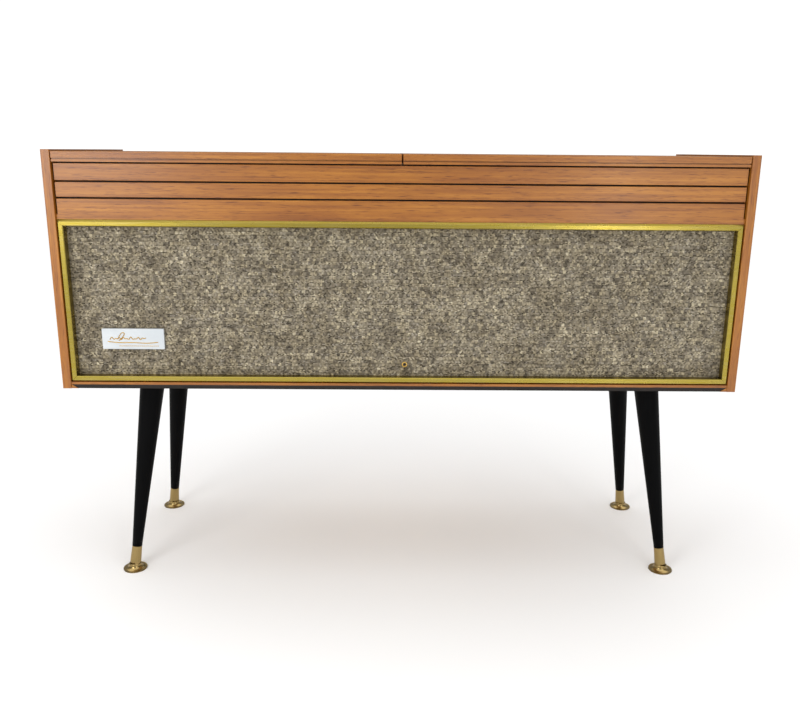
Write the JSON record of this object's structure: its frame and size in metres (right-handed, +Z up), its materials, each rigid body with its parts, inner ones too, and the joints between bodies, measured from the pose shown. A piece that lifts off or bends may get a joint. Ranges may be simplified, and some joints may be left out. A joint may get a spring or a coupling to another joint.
{
  "type": "radio phonograph console",
  "caption": "Long low console on splayed tapered legs, with lift-up lids over a record player and a radio, and a cloth grille in a brass frame.",
  "frame": {"origin": "centre of the footprint on the floor, under the middle of the cabinet", "axes": "+X to the right along the length seen from the front, -Y to the front, +Z up"},
  "size_m": [1.22, 0.39, 0.802],
  "materials": {
    "veneer": "satin polished veneer",
    "plain_board": "plain board",
    "dark_board": "dark stained",
    "hardboard": "pressed hardboard",
    "steel_screw": "plated",
    "grommet": "matt",
    "cloth": "tweed weave",
    "brass_trim": "bright",
    "white_plastic": "gloss",
    "hinge_brass": "satin",
    "black_lacquer": "black satin lacquer",
    "black_steel": "black paint",
    "foot_brass": "satin",
    "cream_enamel": "enamel",
    "platter_steel": "turned",
    "rubber": "matt",
    "chrome_steel": "plated",
    "motor_steel": "grey paint",
    "cream_plastic": "moulded",
    "brown_plastic": "moulded",
    "clear_glass": "polished",
    "dial_print": "printed",
    "pointer_red": "paint",
    "chassis_steel": "plated",
    "valve_glass": "clear"
  },
  "bodies": {
    "cabinet": {"side_panel_left": "veneer", "side_panel_right": "veneer", "bottom_board": "plain_board", "bottom_rail": "veneer", "back_panel": "hardboard", "cord_gland": "grommet", "back_screws": "steel_screw", "rear_top_rail": "veneer", "centre_partition": "plain_board", "fascia_board": "dark_board", "slat_upper": "veneer", "slat_middle": "veneer", "slat_lower": "veneer", "baffle_board": "plain_board", "grille_cloth": "cloth", "speakers": "motor_steel", "grille_trim": "brass_trim", "badge": "white_plastic", "hinge_rail_leaves": "hinge_brass", "hinge_pins": "hinge_brass", "stay_brackets": "hinge_brass", "leg_plates": "black_steel", "legs": "black_lacquer", "ferrules": "foot_brass", "feet": "foot_brass", "motor_board": "plain_board", "player_plate": "cream_enamel", "spindle": "chrome_steel", "drive_motor": "motor_steel", "tonearm_base": "cream_enamel", "arm_rest": "cream_plastic", "control_panel": "plain_board", "dial_glass": "clear_glass", "dial_scale": "dial_print", "radio_chassis": "chassis_steel", "valves": "valve_glass", "transformers": "chassis_steel"},
    "lid_left": {"lid_left": "veneer", "hinge_leaf_left": "hinge_brass", "lid_stay_left": "hinge_brass"},
    "lid_right": {"lid_right": "veneer", "hinge_leaf_right": "hinge_brass", "lid_stay_right": "hinge_brass"},
    "platter": {"platter": "platter_steel", "platter_mat": "rubber"},
    "idler": {"idler_wheel": "rubber"},
    "rotor": {"motor_pulley": "chrome_steel"},
    "yoke": {"tonearm_yoke": "cream_enamel"},
    "arm": {"tonearm": "cream_plastic", "cartridge": "brown_plastic"},
    "record_arm": {"record_arm": "brown_plastic"},
    "speed_knob": {"speed_knob": "brown_plastic"},
    "start_lever": {"start_lever": "brown_plastic"},
    "tuning": {"tuning_knob": "brown_plastic"},
    "pointer": {"dial_pointer": "pointer_red"},
    "volume": {"volume_knob": "brown_plastic"},
    "tone": {"tone_knob": "brown_plastic"},
    "key_off": {"key_off": "cream_plastic"},
    "key_radio": {"key_radio": "cream_plastic"},
    "key_phono": {"key_phono": "cream_plastic"}
  },
  "joints": [
    {"name": "lid_left_hinge", "type": "hinge", "parent": "cabinet", "child": "lid_left", "pos_m": [-0.29725, 0.1505, 0.7962], "axis": [-1, 0, 0], "range_deg": [0, 80]},
    {"name": "lid_right_hinge", "type": "hinge", "parent": "cabinet", "child": "lid_right", "pos_m": [0.29725, 0.1505, 0.7962], "axis": [-1, 0, 0], "range_deg": [0, 80]},
    {"name": "platter_spin", "type": "hinge", "parent": "cabinet", "child": "platter", "pos_m": [0.27, 0.01, 0.664], "axis": [0, 0, -1], "continuous": true},
    {"name": "idler_spin", "type": "hinge", "parent": "cabinet", "child": "idler", "pos_m": [0.175, 0.06485, 0.6655], "axis": [0, 0, -1], "continuous": true},
    {"name": "motor_spin", "type": "hinge", "parent": "cabinet", "child": "rotor", "pos_m": [0.19258, 0.0547, 0.657], "axis": [0, 0, -1], "continuous": true},
    {"name": "tonearm_swing", "type": "hinge", "parent": "cabinet", "child": "yoke", "pos_m": [0.455, 0.12, 0.7], "axis": [0, 0, -1], "range_deg": [0, 31]},
    {"name": "tonearm_lift", "type": "hinge", "parent": "yoke", "child": "arm", "pos_m": [0.455, 0.12, 0.7], "axis": [-0.9744, 0.225, 0], "range_deg": [0, 8]},
    {"name": "record_arm_swing", "type": "hinge", "parent": "cabinet", "child": "record_arm", "pos_m": [0.14, 0.145, 0.66], "axis": [0, 0, -1], "range_deg": [0, 60]},
    {"name": "speed_knob_turn", "type": "hinge", "parent": "cabinet", "child": "speed_knob", "pos_m": [0.47, -0.03, 0.66], "axis": [0, 0, -1], "range_deg": [0, 90]},
    {"name": "start_lever_slide", "type": "slide", "parent": "cabinet", "child": "start_lever", "axis": [0, 1, 0], "range_m": [0, 0.012], "stiffness_N_per_m": 60},
    {"name": "tuning_turn", "type": "hinge", "parent": "cabinet", "child": "tuning", "pos_m": [-0.1205, -0.04, 0.685], "axis": [0, 0, -1], "range_deg": [-540, 540]},
    {"name": "pointer_slide", "type": "slide", "parent": "cabinet", "child": "pointer", "axis": [1, 0, 0], "range_m": [-0.11, 0.11]},
    {"name": "volume_turn", "type": "hinge", "parent": "cabinet", "child": "volume", "pos_m": [-0.5005, -0.04, 0.685], "axis": [0, 0, -1], "range_deg": [0, 270]},
    {"name": "tone_turn", "type": "hinge", "parent": "cabinet", "child": "tone", "pos_m": [-0.4205, -0.04, 0.685], "axis": [0, 0, -1], "range_deg": [-135, 135]},
    {"name": "key_off_press", "type": "slide", "parent": "cabinet", "child": "key_off", "axis": [0, 0, -1], "range_m": [0, 0.005], "stiffness_N_per_m": 250, "springref_m": -0.001},
    {"name": "key_radio_press", "type": "slide", "parent": "cabinet", "child": "key_radio", "axis": [0, 0, -1], "range_m": [0, 0.005], "stiffness_N_per_m": 250, "springref_m": -0.001},
    {"name": "key_phono_press", "type": "slide", "parent": "cabinet", "child": "key_phono", "axis": [0, 0, -1], "range_m": [0, 0.005], "stiffness_N_per_m": 250, "springref_m": -0.001}
  ],
  "couplings": [
    {"joint": "idler_spin", "follows": "platter_spin", "ratio": 7.875},
    {"joint": "motor_spin", "follows": "platter_spin", "ratio": -31.5},
    {"joint": "pointer_slide", "follows": "tuning_turn", "m_per_rad": 0.01166}
  ]
}
